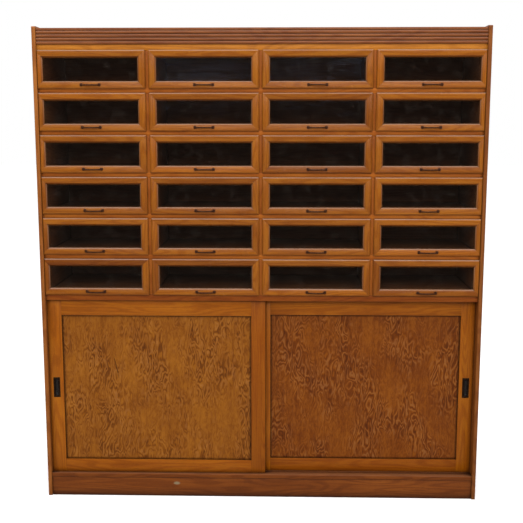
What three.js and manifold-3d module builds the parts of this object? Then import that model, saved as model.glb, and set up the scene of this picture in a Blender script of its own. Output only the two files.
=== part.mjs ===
// A glazed haberdashery cabinet in oak: six rows of four glass-fronted drawers over a cupboard
// with two sliding doors.
// Millimetres, +Z up, front towards -Y, origin on the floor under the middle of the cabinet and its pulls.
import * as THREE from "three";
import { mergeVertices } from "three/addons/utils/BufferGeometryUtils.js";
import Module from "manifold-3d";

const wasm = await Module();
wasm.setup();

// Counts
const rows = 6;
const columns = 4;
const reeds = 4;

// Drawer fronts and the strips of carcass seen between them
const frontWidth = 458.8; // of the two inner columns
const frontHeight = 158.3;
const frontThickness = 18;
const frontStand = 10; // thickness of the lip of a front, which stands in front of the carcass
const columnGap = 15;
const rowGap = 17;
const frontLip = 2.5; // how far a front covers the carcass edge around its bay
const frontSideGap = 0.8; // between an outer front and the side panel
const outerTrim = 7.9; // by which an outer front is narrower, all of it on its outer stile

// Carcass boards
const sideThickness = 17;
const sideDepth = 490;
const sideAboveCornice = 7;
const sideNoseRadius = 8;
const backThickness = 6;
const backRebate = 8;
const housingDepth = 6;
const topThickness = 24.5;
const topTongue = 15; // lower part of the top board's thickness, which alone enters the side panels
const deckThickness = 27;
const floorThickness = 19;

// Base and cupboard
const plinthHeight = 86;
const plinthThickness = 20;
const plinthSetback = 3; // behind the sill
const sillProud = 7; // of the sill in front of the carcass boards, nearly to the edges of the side panels
const doorOpening = 784;

// Reeded cornice
const reedPitch = 14.2;
const reedBulge = 5;
const corniceFillet = 11; // plain band over the top reed
const corniceThickness = 20;
const corniceProud = 1.5; // in front of the frieze, at the roots of the reeds

// Drawer front frame
const frontMember = 30.5; // width of its members, but for the outer stile of an outer front
const sightBevel = 6;
const frontArris = 5;
const glassThickness = 3;
const glassSetback = 9; // from the face of the frame to the glass
const glassEntry = 6; // of the glass into its groove

// Drawer box
const boxWall = 11;
const boxLength = 440;
const boxHeight = 138;
const boxBackDrop = 8; // the back is lower than the sides
const boxHousing = 6; // of the sides and bottom into the front
const bottomThickness = 5;
const bottomRaise = 6;
const bottomEntry = 5;

// Bow pull of a drawer
const bowHalfSpan = 38; // from the middle to the middle of a foot
const bowReach = 20;
const bowStrap = 4;
const bowStrapHeight = 6;
const bowFall = Math.PI / 36; // angle at which the strap leaves its feet, forwards and down
const bowSquareness = 2.6; // exponent of the strap's curve, in which 2 is an ellipse
const bowSteps = 16; // straight pieces in the curve
const bowFootLength = 11;
const bowFootHeight = 12;
const bowFootThickness = 2.5;
const bowFootCentre = 16.5; // above the lower edge of the front
const bowPost = 3; // of each foot into the rail

// Sliding doors
const doorThickness = 22;
const doorOverlap = 39;
const doorStile = 61;
const doorTopRail = 78;
const doorBottomRail = 62;
const doorPanelThickness = 6;
const doorPanelSetback = 8;
const doorPanelEntry = 8;
const trackLip = 14; // of the deck, in front of its first track
const trackBead = 8;
const floorTrackDepth = 5;
const deckTrackDepth = 14;
const doorTopEntry = 8;
const doorEndGap = 0.5;

// Flush pull of a door
const flushHeight = 90;
const flushWidth = 29;
const flushPlate = 1.5;
const flushCupHeight = 74;
const flushCupWidth = 20;
const flushCupDepth = 11;
const flushWall = 1.5;
const flushCentreHeight = 393; // above the door's lower edge

// Clearances
const fitGap = 0.3; // glued, housed and pinned joints
const frontSeat = 0.5; // from the lip of a closed front to the carcass
const runGap = 1.25; // on each side of a drawer in its bay, and over its front
const trackGap = 0.5; // on each face of a door in its track
const overrun = 1; // of a cut past the face that it opens, and of a joined piece into its neighbour

// Places that follow from the sizes above
const columnPitch = frontWidth + columnGap;
const rowPitch = frontHeight + rowGap;
const partitionThickness = columnGap + 2 * frontLip;
const boardThickness = rowGap + 2 * frontLip;
const innerHalf = (columns * frontWidth + (columns - 1) * columnGap) / 2 - outerTrim + frontSideGap;
const outerHalf = innerHalf + sideThickness;
const frontY = (bowReach - sideDepth) / 2; // front edge of the side panels
const railY = frontY + frontStand + frontSeat; // front edge of the carcass boards
const backY = frontY + sideDepth;
const backPanelY = backY - backThickness;
const carcassBackY = backPanelY - fitGap;
const floorTop = plinthHeight + floorThickness;
const deckBottom = floorTop + doorOpening;
const deckTop = deckBottom + deckThickness;
const lowestFrontZ = deckTop - frontLip;
const topBottom = lowestFrontZ + rows * frontHeight + (rows - 1) * rowGap - frontLip;
const topTop = topBottom + topThickness;
const corniceTop = topTop + reeds * reedPitch + corniceFillet;
const sideTop = corniceTop + sideAboveCornice;
const trackWidth = doorThickness + 2 * trackGap;
const sillY = railY - sillProud;
const frontTrackY = railY + trackLip;
const rearTrackY = frontTrackY + trackWidth + trackBead;
const doorWidth = innerHalf + doorOverlap / 2 - doorEndGap;
const doorBottomZ = floorTop - floorTrackDepth + fitGap;
const doorHeight = deckBottom + doorTopEntry - doorBottomZ;
const columnX = (column) => (column - (columns - 1) / 2) * columnPitch;
const rowZ = (row) => lowestFrontZ + (rows - 1 - row) * rowPitch;

// Materials
const oak = new THREE.MeshStandardMaterial({ color: 0xa5662a, roughness: 0.45, metalness: 0 });
const darkOak = new THREE.MeshStandardMaterial({ color: 0x7e4a22, roughness: 0.5, metalness: 0 });
const figuredOak = new THREE.MeshStandardMaterial({ color: 0x925621, roughness: 0.42, metalness: 0 });
const glass = new THREE.MeshStandardMaterial({
  color: 0xc9d4d0,
  roughness: 0.05,
  metalness: 0,
  transparent: true,
  opacity: 0.25,
});
const bronze = new THREE.MeshStandardMaterial({ color: 0x3a2c24, roughness: 0.4, metalness: 0.85 });

// A profile drawn with y across and z up, carried onto the cabinet's own axes and drawn out along X.
const profileToCabinet = new THREE.Matrix4().makeBasis(
  new THREE.Vector3(0, 1, 0),
  new THREE.Vector3(0, 0, 1),
  new THREE.Vector3(1, 0, 0),
);

// A squared board between two corners.
function board(low, high) {
  const size = high.map((value, axis) => value - low[axis]);
  const middle = high.map((value, axis) => (value + low[axis]) / 2);
  return new THREE.BoxGeometry(...size).translate(...middle);
}

// A closed mesh as a solid that can be cut and joined.
function solid(geometry) {
  const bare = geometry.clone();
  bare.deleteAttribute("normal");
  bare.deleteAttribute("uv");
  const merged = mergeVertices(bare);
  return new wasm.Manifold(
    new wasm.Mesh({
      numProp: 3,
      vertProperties: new Float32Array(merged.attributes.position.array),
      triVerts: new Uint32Array(merged.index.array),
    }),
  );
}

// Joins every geometry of the first list and takes every geometry of the second away.
function build(joined, removed = []) {
  let body = solid(joined[0]);
  for (const piece of joined.slice(1)) body = body.add(solid(piece));
  for (const piece of removed) body = body.subtract(solid(piece));
  const mesh = body.getMesh();
  const geometry = new THREE.BufferGeometry();
  geometry.setAttribute("position", new THREE.BufferAttribute(new Float32Array(mesh.vertProperties), 3));
  geometry.setIndex(new THREE.BufferAttribute(new Uint32Array(mesh.triVerts), 1));
  geometry.computeVertexNormals();
  return geometry;
}

// A rectangle with its lower left corner at x, z.
function rectangle(x, z, width, height, Kind = THREE.Shape) {
  const outline = new Kind();
  outline.moveTo(x, z);
  outline.lineTo(x + width, z);
  outline.lineTo(x + width, z + height);
  outline.lineTo(x, z + height);
  outline.closePath();
  return outline;
}

// A shape drawn in x and z, as a plate whose face is at y = 0 and which goes back by its thickness.
function plate(shape, thickness) {
  return new THREE.ExtrudeGeometry(shape, { depth: thickness, bevelEnabled: false })
    .rotateX(Math.PI / 2)
    .translate(0, thickness, 0);
}

// A four-sided frustum between two rectangles, each given as [low x, low z, high x, high z], at two depths.
function frustum(near, nearY, far, farY) {
  const corner = (box, y, right, up) => [box[right ? 2 : 0], y, box[up ? 3 : 1]];
  const ring = (box, y) => [
    corner(box, y, false, false),
    corner(box, y, true, false),
    corner(box, y, true, true),
    corner(box, y, false, true),
  ];
  const points = [...ring(near, nearY), ...ring(far, farY)];
  const faces = [0, 1, 2, 0, 2, 3, 4, 6, 5, 4, 7, 6];
  for (let k = 0; k < 4; k += 1) {
    const next = (k + 1) % 4;
    faces.push(k, k + 4, next, next, k + 4, next + 4);
  }
  const geometry = new THREE.BufferGeometry();
  geometry.setAttribute("position", new THREE.BufferAttribute(new Float32Array(points.flat()), 3));
  geometry.setIndex(faces);
  return geometry;
}

const cabinet = new THREE.Group();

function place(parent, name, geometry, material) {
  const mesh = new THREE.Mesh(geometry, material);
  mesh.name = name;
  parent.add(mesh);
  return mesh;
}

// Side panel: full height, rounded at the top front corner, housed for the three long boards and rebated for
// the back. Drawn as the right-hand side.
function sidePanel() {
  const outline = new THREE.Shape();
  outline.moveTo(frontY, 0);
  outline.lineTo(backY, 0);
  outline.lineTo(backY, sideTop);
  outline.lineTo(frontY + sideNoseRadius, sideTop);
  outline.absarc(
    frontY + sideNoseRadius,
    sideTop - sideNoseRadius,
    sideNoseRadius,
    Math.PI / 2,
    Math.PI,
    false,
  );
  outline.closePath();
  const panel = new THREE.ExtrudeGeometry(outline, {
    depth: sideThickness,
    bevelEnabled: false,
    curveSegments: 5,
  })
    .applyMatrix4(profileToCabinet)
    .translate(innerHalf, 0, 0);
  const boards = [
    [plinthHeight, floorTop],
    [deckBottom, deckTop],
    [topBottom, topBottom + topTongue],
  ];
  const housings = boards.map(([low, high]) =>
    board(
      [innerHalf - overrun, railY - fitGap, low - fitGap],
      [innerHalf + housingDepth, backY + overrun, high + fitGap],
    ),
  );
  const rebate = board(
    [innerHalf - overrun, backPanelY - fitGap, -overrun],
    [innerHalf + backRebate, backY + overrun, sideTop + overrun],
  );
  return build([panel], [...housings, rebate]);
}

// Drawer carcass: partitions and dust boards crossed and glued, on the deck with the upper door tracks.
function drawerCarcass() {
  const pieces = [
    board(
      [-innerHalf - housingDepth + fitGap, railY, deckBottom],
      [innerHalf + housingDepth - fitGap, carcassBackY, deckTop],
    ),
  ];
  for (let line = 1; line < columns; line += 1) {
    const x = columnX(line) - columnPitch / 2;
    pieces.push(
      board(
        [x - partitionThickness / 2, railY, deckBottom + overrun + deckTrackDepth],
        [x + partitionThickness / 2, carcassBackY, topBottom - fitGap],
      ),
    );
  }
  for (let row = 1; row < rows; row += 1) {
    const top = rowZ(row - 1) + frontLip;
    pieces.push(
      board(
        [-innerHalf + fitGap, railY, top - boardThickness],
        [innerHalf - fitGap, carcassBackY, top],
      ),
    );
  }
  const tracks = [frontTrackY, rearTrackY].map((y) =>
    board(
      [-outerHalf, y, deckBottom - overrun],
      [outerHalf, y + trackWidth, deckBottom + deckTrackDepth],
    ),
  );
  return build(pieces, tracks);
}

// Top board with the reeded cornice glued to its front edge. Its ends are cut back above their tongues, so
// that its upper face stops at the side panels. Each reed is half an ellipse proud of the cornice board.
function corniceTopPiece() {
  const length = 2 * (innerHalf - fitGap);
  const rootY = railY - corniceProud;
  const profile = new THREE.Shape();
  profile.moveTo(rootY + corniceThickness, topTop - overrun);
  profile.lineTo(rootY + corniceThickness, corniceTop);
  profile.lineTo(rootY - reedBulge / 2, corniceTop);
  profile.lineTo(rootY - reedBulge / 2, corniceTop - corniceFillet + reedBulge / 2);
  profile.lineTo(rootY, corniceTop - corniceFillet);
  for (let reed = reeds - 1; reed >= 0; reed -= 1) {
    const middle = topTop + (reed + 1 / 2) * reedPitch;
    profile.absellipse(rootY, middle, reedBulge, reedPitch / 2, Math.PI / 2, (3 * Math.PI) / 2, false, 0);
  }
  profile.lineTo(railY, topTop);
  profile.lineTo(railY, topTop - overrun);
  profile.closePath();
  const cornice = new THREE.ExtrudeGeometry(profile, {
    depth: length,
    bevelEnabled: false,
    curveSegments: 6,
  })
    .applyMatrix4(profileToCabinet)
    .translate(-length / 2, 0, 0);
  const top = board([-innerHalf + fitGap, railY, topBottom], [innerHalf - fitGap, carcassBackY, topTop]);
  const tongues = board(
    [-innerHalf - housingDepth + fitGap, railY, topBottom],
    [innerHalf + housingDepth - fitGap, carcassBackY, topBottom + topTongue],
  );
  return build([top, tongues, cornice]);
}

// Back panel: one sheet in the rebates of the sides, from the floor board to the top board.
function backPanel() {
  return board(
    [-innerHalf - backRebate + fitGap, backPanelY, plinthHeight],
    [innerHalf + backRebate - fitGap, backY, topTop],
  );
}

// Base: the floor board with the lower door tracks, on a front and a rear plinth board. Its front edge is
// the sill, which ends between the side panels, in front of the tongues.
function basePiece() {
  const floor = board(
    [-innerHalf + fitGap, sillY, plinthHeight],
    [innerHalf - fitGap, carcassBackY, floorTop],
  );
  const tongues = board(
    [-innerHalf - housingDepth + fitGap, railY, plinthHeight],
    [innerHalf + housingDepth - fitGap, carcassBackY, floorTop],
  );
  const plinths = [sillY + plinthSetback, carcassBackY - plinthThickness].map((y) =>
    board(
      [-innerHalf + fitGap, y, 0],
      [innerHalf - fitGap, y + plinthThickness, plinthHeight + overrun],
    ),
  );
  const tracks = [frontTrackY, rearTrackY].map((y) =>
    board(
      [-outerHalf, y, floorTop - floorTrackDepth],
      [outerHalf, y + trackWidth, floorTop + overrun],
    ),
  );
  return build([floor, tongues, ...plinths], tracks);
}

// One edge of the strap of a bow pull, from its right end on the face of the rail round to the left one.
function bowEdge(halfSpan, reach) {
  return Array.from({ length: bowSteps + 1 }, (unused, step) => {
    const turn = (Math.PI * step) / bowSteps;
    const across = Math.abs(Math.cos(turn)) ** (2 / bowSquareness);
    const out = Math.abs(Math.sin(turn)) ** (2 / bowSquareness);
    return new THREE.Vector2(Math.sign(Math.cos(turn)) * across * halfSpan, -out * reach);
  });
}

// Bow pull: a bent strap reaches forward, a little downwards, from two flat feet let into the rail.
function bowPull() {
  const outer = bowHalfSpan + bowStrap / 2;
  const inner = bowHalfSpan - bowStrap / 2;
  const reach = (bowReach - (bowStrapHeight / 2) * Math.sin(bowFall)) / Math.cos(bowFall);
  const outline = new THREE.Shape([
    ...bowEdge(outer, reach),
    ...bowEdge(inner, reach - bowStrap).reverse(),
  ]);
  const strap = new THREE.ExtrudeGeometry(outline, { depth: bowStrapHeight, bevelEnabled: false })
    .translate(0, 0, -bowStrapHeight / 2)
    .rotateX(bowFall)
    .translate(0, 0, bowFootCentre);
  const feet = [-1, 1].map((hand) =>
    board(
      [
        hand * bowHalfSpan - bowFootLength / 2,
        -bowFootThickness,
        bowFootCentre - bowFootHeight / 2,
      ],
      [hand * bowHalfSpan + bowFootLength / 2, bowPost, bowFootCentre + bowFootHeight / 2],
    ),
  );
  return [strap, ...feet];
}

// Drawer of a column, in its own place: x = 0 in the middle of its pane, y = 0 at the face of its front,
// z = 0 at the lower edge of its front. The lip of the front stays outside, and the rest goes into the bay.
function drawerPiece(column) {
  const half = frontWidth / 2;
  const isFirst = column === 0;
  const isLast = column === columns - 1;
  const outside = [isFirst ? outerTrim - half : -half, 0, isLast ? half - outerTrim : half, frontHeight];
  const inset = (box, by) => [box[0] + by, box[1] + by, box[2] - by, box[3] - by];
  const sight = inset([-half, 0, half, frontHeight], frontMember);
  const bayHalf = (columnPitch - partitionThickness) / 2;
  const outerBayHalf = innerHalf + columnX(0);
  const boxLeft = runGap - (isFirst ? outerBayHalf : bayHalf);
  const boxRight = (isLast ? outerBayHalf : bayHalf) - runGap;
  const front = [
    frustum(inset(outside, frontArris), 0, outside, frontArris),
    board([outside[0], frontArris, 0], [outside[2], frontStand, frontHeight]),
    board(
      [boxLeft, frontStand - overrun, frontLip + runGap],
      [boxRight, frontThickness, frontHeight - frontLip - runGap],
    ),
  ];
  const boxBottom = frontLip + fitGap;
  const boxTop = boxBottom + boxHeight;
  const boxEnd = frontThickness + boxLength;
  const sides = [boxLeft, boxRight - boxWall].map((x) =>
    board([x, frontThickness - boxHousing, boxBottom], [x + boxWall, boxEnd, boxTop]),
  );
  const bottomZ = boxBottom + bottomRaise;
  const bottom = board(
    [boxLeft + boxWall - bottomEntry, frontThickness - boxHousing, bottomZ],
    [boxRight - boxWall + bottomEntry, boxEnd, bottomZ + bottomThickness],
  );
  const back = board(
    [boxLeft + boxWall / 2, boxEnd - boxWall, bottomZ],
    [boxRight - boxWall / 2, boxEnd, boxTop - boxBackDrop],
  );
  const window = board(
    [sight[0], -overrun, sight[1]],
    [sight[2], frontThickness + overrun, sight[3]],
  );
  const bevel = frustum(inset(sight, -sightBevel - overrun), -overrun, sight, sightBevel);
  const groove = board(
    [sight[0] - glassEntry - fitGap, glassSetback - fitGap, sight[1] - glassEntry - fitGap],
    [
      sight[2] + glassEntry + fitGap,
      glassSetback + glassThickness + fitGap,
      sight[3] + glassEntry + fitGap,
    ],
  );
  const frame = build(front, [window, bevel, groove]);
  return build([frame, ...sides, bottom, back, ...bowPull()]);
}

// The pane of a drawer, in the drawer's own place.
function drawerGlass() {
  const half = frontWidth / 2 - frontMember + glassEntry;
  return board(
    [-half, glassSetback, frontMember - glassEntry],
    [half, glassSetback + glassThickness, frontHeight - frontMember + glassEntry],
  );
}

// Flush pull, in its own place: y = 0 at its face, z = 0 at its middle.
function roundEnded(height, width) {
  const outline = new THREE.Shape();
  const radius = width / 2;
  const straight = height / 2 - radius;
  outline.absarc(0, straight, radius, 0, Math.PI, false);
  outline.absarc(0, -straight, radius, Math.PI, 2 * Math.PI, false);
  outline.closePath();
  return outline;
}

function flushPull() {
  const face = board(
    [-flushWidth / 2, 0, -flushHeight / 2],
    [flushWidth / 2, flushPlate, flushHeight / 2],
  );
  const cup = plate(roundEnded(flushCupHeight, flushCupWidth), flushCupDepth);
  const hollow = plate(
    roundEnded(flushCupHeight - 2 * flushWall, flushCupWidth - 2 * flushWall),
    flushCupDepth - flushWall + overrun,
  ).translate(0, -overrun, 0);
  return build([face, cup], [hollow]);
}

function flushPocket() {
  const face = board(
    [-flushWidth / 2 - fitGap, -overrun, -flushHeight / 2 - fitGap],
    [flushWidth / 2 + fitGap, flushPlate + fitGap, flushHeight / 2 + fitGap],
  );
  const cup = plate(
    roundEnded(flushCupHeight + 2 * fitGap, flushCupWidth + 2 * fitGap),
    flushCupDepth + fitGap + overrun,
  ).translate(0, -overrun, 0);
  return [face, cup];
}

// Door frame, in its own place: x = 0 at its meeting edge, going to negative x; y = 0 at its face.
const flushX = -doorWidth + doorStile / 2;

function doorFrame() {
  const outline = rectangle(-doorWidth, 0, doorWidth, doorHeight);
  outline.holes.push(
    rectangle(
      -doorWidth + doorStile,
      doorBottomRail,
      doorWidth - 2 * doorStile,
      doorHeight - doorBottomRail - doorTopRail,
      THREE.Path,
    ),
  );
  const groove = board(
    [
      -doorWidth + doorStile - doorPanelEntry - fitGap,
      doorPanelSetback - fitGap,
      doorBottomRail - doorPanelEntry - fitGap,
    ],
    [
      -doorStile + doorPanelEntry + fitGap,
      doorPanelSetback + doorPanelThickness + fitGap,
      doorHeight - doorTopRail + doorPanelEntry + fitGap,
    ],
  );
  const pocket = flushPocket().map((piece) => piece.translate(flushX, 0, flushCentreHeight));
  return build([plate(outline, doorThickness)], [groove, ...pocket]);
}

function doorPanel() {
  return board(
    [-doorWidth + doorStile - doorPanelEntry, doorPanelSetback, doorBottomRail - doorPanelEntry],
    [
      -doorStile + doorPanelEntry,
      doorPanelSetback + doorPanelThickness,
      doorHeight - doorTopRail + doorPanelEntry,
    ],
  );
}

// Turns a geometry into its mirror image in the plane x = 0.
function mirrored(geometry) {
  const copy = geometry.clone().applyMatrix4(new THREE.Matrix4().makeScale(-1, 1, 1));
  const index = copy.index.array;
  for (let k = 0; k < index.length; k += 3) [index[k + 1], index[k + 2]] = [index[k + 2], index[k + 1]];
  copy.computeVertexNormals();
  return copy;
}

// Carcass
const rightSide = sidePanel();
place(cabinet, "side_panel_left", mirrored(rightSide), oak);
place(cabinet, "side_panel_right", rightSide, oak);
place(cabinet, "drawer_carcass", drawerCarcass(), oak);
place(cabinet, "top_with_cornice", corniceTopPiece(), oak);
place(cabinet, "back_panel", backPanel(), darkOak);
place(cabinet, "base_with_plinth", basePiece(), darkOak);

// Drawers, row 1 at the top and column 1 at the left
const glassShape = drawerGlass();
const drawerShapes = [];
for (let column = 0; column < columns; column += 1) drawerShapes.push(drawerPiece(column));
for (let row = 0; row < rows; row += 1) {
  for (let column = 0; column < columns; column += 1) {
    const drawer = new THREE.Group();
    drawer.position.set(columnX(column), frontY, rowZ(row));
    place(drawer, `drawer_r${row + 1}_c${column + 1}`, drawerShapes[column], oak);
    place(drawer, `glass_r${row + 1}_c${column + 1}`, glassShape, glass);
    cabinet.add(drawer);
  }
}

// Doors: the left one runs in the front track and the right one, its mirror image, in the rear track
const frameShape = doorFrame();
const panelShape = doorPanel();
const pullShape = flushPull();
for (const hand of ["left", "right"]) {
  const door = new THREE.Group();
  const left = hand === "left";
  const meeting = -innerHalf + doorEndGap + doorWidth;
  const trackY = left ? frontTrackY : rearTrackY;
  door.position.set(left ? meeting : -meeting, trackY + trackGap, doorBottomZ);
  const turn = (geometry) => (left ? geometry : mirrored(geometry));
  place(door, `door_frame_${hand}`, turn(frameShape), oak);
  place(door, `door_panel_${hand}`, turn(panelShape), figuredOak);
  const pull = place(door, `flush_pull_${hand}`, pullShape, bronze);
  pull.position.set(left ? flushX : -flushX, 0, flushCentreHeight);
  cabinet.add(door);
}

export default cabinet;
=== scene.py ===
import random
from math import copysign, cos, pi, radians, sin

import bmesh
import bpy
from mathutils import Matrix, Vector


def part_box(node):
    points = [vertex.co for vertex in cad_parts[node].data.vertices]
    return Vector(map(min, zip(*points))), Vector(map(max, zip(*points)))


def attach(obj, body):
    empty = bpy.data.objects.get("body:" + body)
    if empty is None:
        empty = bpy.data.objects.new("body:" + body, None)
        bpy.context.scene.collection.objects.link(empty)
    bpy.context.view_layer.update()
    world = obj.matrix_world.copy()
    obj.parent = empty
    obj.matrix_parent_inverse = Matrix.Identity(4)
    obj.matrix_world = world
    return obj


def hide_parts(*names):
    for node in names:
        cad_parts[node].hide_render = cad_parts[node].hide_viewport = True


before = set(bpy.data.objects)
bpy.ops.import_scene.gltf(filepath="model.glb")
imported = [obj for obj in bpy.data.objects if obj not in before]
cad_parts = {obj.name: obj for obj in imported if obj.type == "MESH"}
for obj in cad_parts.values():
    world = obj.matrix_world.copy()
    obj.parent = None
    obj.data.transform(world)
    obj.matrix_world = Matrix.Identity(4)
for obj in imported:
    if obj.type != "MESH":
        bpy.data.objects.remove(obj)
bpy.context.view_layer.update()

# Camera: at eye height and a little right of the middle, near enough for the cabinet to narrow
# towards the floor, as in the photograph.
mm = 0.001
sensor_width = 36
focal_length = 61.95
camera_reach = 3799.6 * mm
camera_aside = 99.5 * mm
camera_height = 1657.2 * mm
camera_dip = radians(8.875)
camera_turn = radians(1.443)
scene = bpy.context.scene
camera_data = bpy.data.cameras.new("camera")
camera_data.sensor_width = sensor_width
camera_data.lens = focal_length
camera = bpy.data.objects.new("camera", camera_data)
scene.collection.objects.link(camera)
side_low, side_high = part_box("side_panel_left")
camera.location = (camera_aside, side_low[1] - camera_reach, camera_height)
camera.rotation_euler = (pi / 2 - camera_dip, 0, camera_turn)
scene.camera = camera

# Studio: open, cloud-soft light from surroundings that are white to the camera. The cabinet sees them as warm
# and dim near the ground and pale above, with a streaked band of light low in the middle for the panes of
# its top row to reflect. Stops are heights or places across, from 0 to 1, each with a colour or level.
sky_stops = [(0.0, (0.3, 0.3, 0.3)), (0.45, (0.24, 0.15, 0.11)), (0.54, (0.24, 0.12, 0.085))]
sky_stops += [(0.62, (0.6, 0.6, 0.61)), (0.75, (1.1, 1.1, 1.12)), (1.0, (1.3, 1.3, 1.32))]
band_colour = (1, 1.2, 1.65)
band_heights = ((0.505, 0), (0.5175, 1), (0.545, 1), (0.56, 0))
band_sides = ((0.424, 0), (0.434, 1), (0.54, 1), (0.55, 0))
streak_scale = (7, 1, 130)
streak_span = (0.48, 0.62)


class Value:
    """A socket in a tree of nodes, on which sums can be written."""

    def __init__(self, nodes, socket):
        self.nodes = nodes
        self.socket = socket

    def part(self, name):
        return Value(self.nodes, self.socket.node.outputs[name])

    def __add__(self, other):
        return self.nodes.math("ADD", self, other)

    def __sub__(self, other):
        return self.nodes.math("SUBTRACT", self, other)

    def __rsub__(self, other):
        return self.nodes.math("SUBTRACT", other, self)

    def __mul__(self, other):
        return self.nodes.math("MULTIPLY", self, other)


class Nodes:
    """A tree whose nodes are made one by one, each giving the first of its outputs that is in use."""

    def __init__(self, tree):
        self.tree = tree

    def plug(self, node, sockets):
        """Links each socket of a node to a value, or sets it to a constant."""
        for key, value in sockets.items():
            if isinstance(value, Value):
                self.tree.links.new(value.socket, node.inputs[key])
            else:
                node.inputs[key].default_value = value

    def node(self, kind, sockets=None, stops=(), **settings):
        """Adds a node of a kind, with the stops of its ramp if it has one."""
        node = self.tree.nodes.new(f"ShaderNode{kind}")
        for key, value in settings.items():
            setattr(node, key, value)
        if stops:
            for _ in stops[2:]:
                node.color_ramp.elements.new(1)
            for element, (place, colour) in zip(node.color_ramp.elements, stops):
                element.position = place
                element.color = (*colour, 1)
        self.plug(node, sockets or {})
        return Value(self, next((socket for socket in node.outputs if socket.enabled), None))

    def math(self, operation, *parts):
        return self.node("Math", dict(enumerate(parts)), operation=operation)

    def vector(self, operation, *parts):
        return self.node("VectorMath", dict(enumerate(parts)), operation=operation)

    def noise(self, place, scale, detail, roughness=0.5, distortion=0):
        """Cloudy noise, whose scale is one number or one for each axis."""
        if isinstance(scale, tuple):
            place = self.vector("MULTIPLY", place, scale)
            scale = 1
        sockets = {"Scale": scale, "Detail": detail, "Roughness": roughness, "Distortion": distortion}
        return self.node("TexNoise", {"Vector": place, **sockets})

    def ramp(self, value, stops):
        return self.node("ValToRGB", {"Fac": value}, stops)

    def mix(self, share, first, second, blend="MIX"):
        return self.node("Mix", {0: share, 6: first, 7: second}, data_type="RGBA", blend_type=blend)


class Finish(Nodes):
    """A material whose surface is a single glossy shader."""

    def __init__(self, name):
        self.material = bpy.data.materials.new(name)
        self.material.use_nodes = True
        super().__init__(self.material.node_tree)
        self.shader = self.tree.nodes["Principled BSDF"]

    def place(self):
        """The place on the object as it was built."""
        return self.node("TexCoord").part("Object")

    def axes(self, vector):
        return self.node("SeparateXYZ", {0: vector})

    def openness(self, reach):
        """1 in the open, and less in a corner with walls within reach."""
        return self.node("AmbientOcclusion", {"Distance": reach}, samples=4).part("AO")

    def spread(self, value, low, high, to_low=0.0, to_high=1.0):
        """Carries the span from low to high smoothly onto another span."""
        sockets = {"Value": value, "From Min": low, "From Max": high, "To Min": to_low, "To Max": to_high}
        return self.node("MapRange", sockets, interpolation_type="SMOOTHSTEP")

    def surface(self, sockets):
        self.plug(self.shader, sockets)

    def relief(self, height, distance, strength):
        bump = self.node("Bump", {"Height": height, "Distance": distance, "Strength": strength})
        self.surface({"Normal": bump})


scene.view_settings.view_transform = "Standard"
studio = bpy.data.worlds.new("studio")
studio.use_nodes = True
studio.node_tree.nodes.clear()
scene.world = studio
sky = Nodes(studio.node_tree)
outlook = sky.node("TexCoord").part("Generated")
sky_axes = sky.node("SeparateXYZ", {0: outlook})
sky_height = sky.node("MapRange", {"Value": sky_axes.part("Z"), "From Min": -1})
sky_side = sky.node("MapRange", {"Value": sky_axes.part("X"), "From Min": -1})
streaks = sky.noise(outlook, streak_scale, 2, 0.5, 0.8)
streaks = sky.node("MapRange", {"Value": streaks, "From Min": streak_span[0], "From Max": streak_span[1]})
band_share = streaks * sky.ramp(sky_side, [(place, (level,) * 3) for place, level in band_sides])
band = sky.ramp(sky_height, [(place, [level * c for c in band_colour]) for place, level in band_heights])
sky_colour = sky.mix(band_share, sky.ramp(sky_height, sky_stops), band, "ADD")
sky_light = sky.node("Background", {"Color": sky_colour})
sky_white = sky.node("Background", {"Color": (1, 1, 1, 1)})
sky_seen = sky.node("LightPath").part("Is Camera Ray")
sky_look = sky.node("MixShader", {0: sky_seen, 1: sky_light, 2: sky_white})
sky.node("OutputWorld", {"Surface": sky_look})


def hang_softbox(name, place, target, width, height, power):
    """A large soft lamp at a place, turned to face a target, that leaves no reflection."""
    lamp_data = bpy.data.lights.new(name, "AREA")
    lamp_data.shape = "RECTANGLE"
    lamp_data.size = width
    lamp_data.size_y = height
    lamp_data.energy = power
    lamp = bpy.data.objects.new(name, lamp_data)
    scene.collection.objects.link(lamp)
    lamp.location = place
    lamp.rotation_euler = (Vector(target) - Vector(place)).to_track_quat("-Z", "Y").to_euler()
    lamp.visible_glossy = False


hang_softbox("softbox_above", (0, -1.0, 4.0), (0, -0.3, 1.0), 4.8, 1.8, 60)
hang_softbox("softbox_front", (0.2, -5.5, 3.4), (0, 0, 1.0), 3.0, 2.0, 170)
hang_softbox("softbox_left", (-4.5, -3.0, 1.7), (0, 0, 1.0), 2.5, 2.5, 45)
hang_softbox("softbox_right", (4.5, -3.0, 1.7), (0, 0, 1.0), 2.5, 2.5, 45)

# Floor: one large plain sheet, nearly white to the camera. To everything else it is a dim grey, so that it
# throws little light up under the boards.
floor_size = 60
bpy.ops.object.select_all(action="DESELECT")
bpy.ops.mesh.primitive_plane_add(size=floor_size)
floor_plane = bpy.context.object
floor_plane.name = "floor"
floor_paint = Finish("floor_paint")
floor_paint.surface({"Base Color": (0.92, 0.92, 0.92, 1), "Roughness": 0.9})
floor_paint.surface({"Emission Color": (1, 1, 1, 1), "Emission Strength": 0.1})
floor_seen = floor_paint.node("LightPath").part("Is Camera Ray")
floor_dim = floor_paint.node("BsdfDiffuse", {"Color": (0.4, 0.4, 0.4, 1)})
floor_bright = Value(floor_paint, floor_paint.shader.outputs[0])
floor_look = floor_paint.node("MixShader", {0: floor_seen, 1: floor_dim, 2: floor_bright})
floor_paint.plug(floor_paint.tree.nodes["Material Output"], {"Surface": floor_look})
floor_plane.data.materials.append(floor_paint.material)
floor_plane.visible_glossy = False


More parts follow.
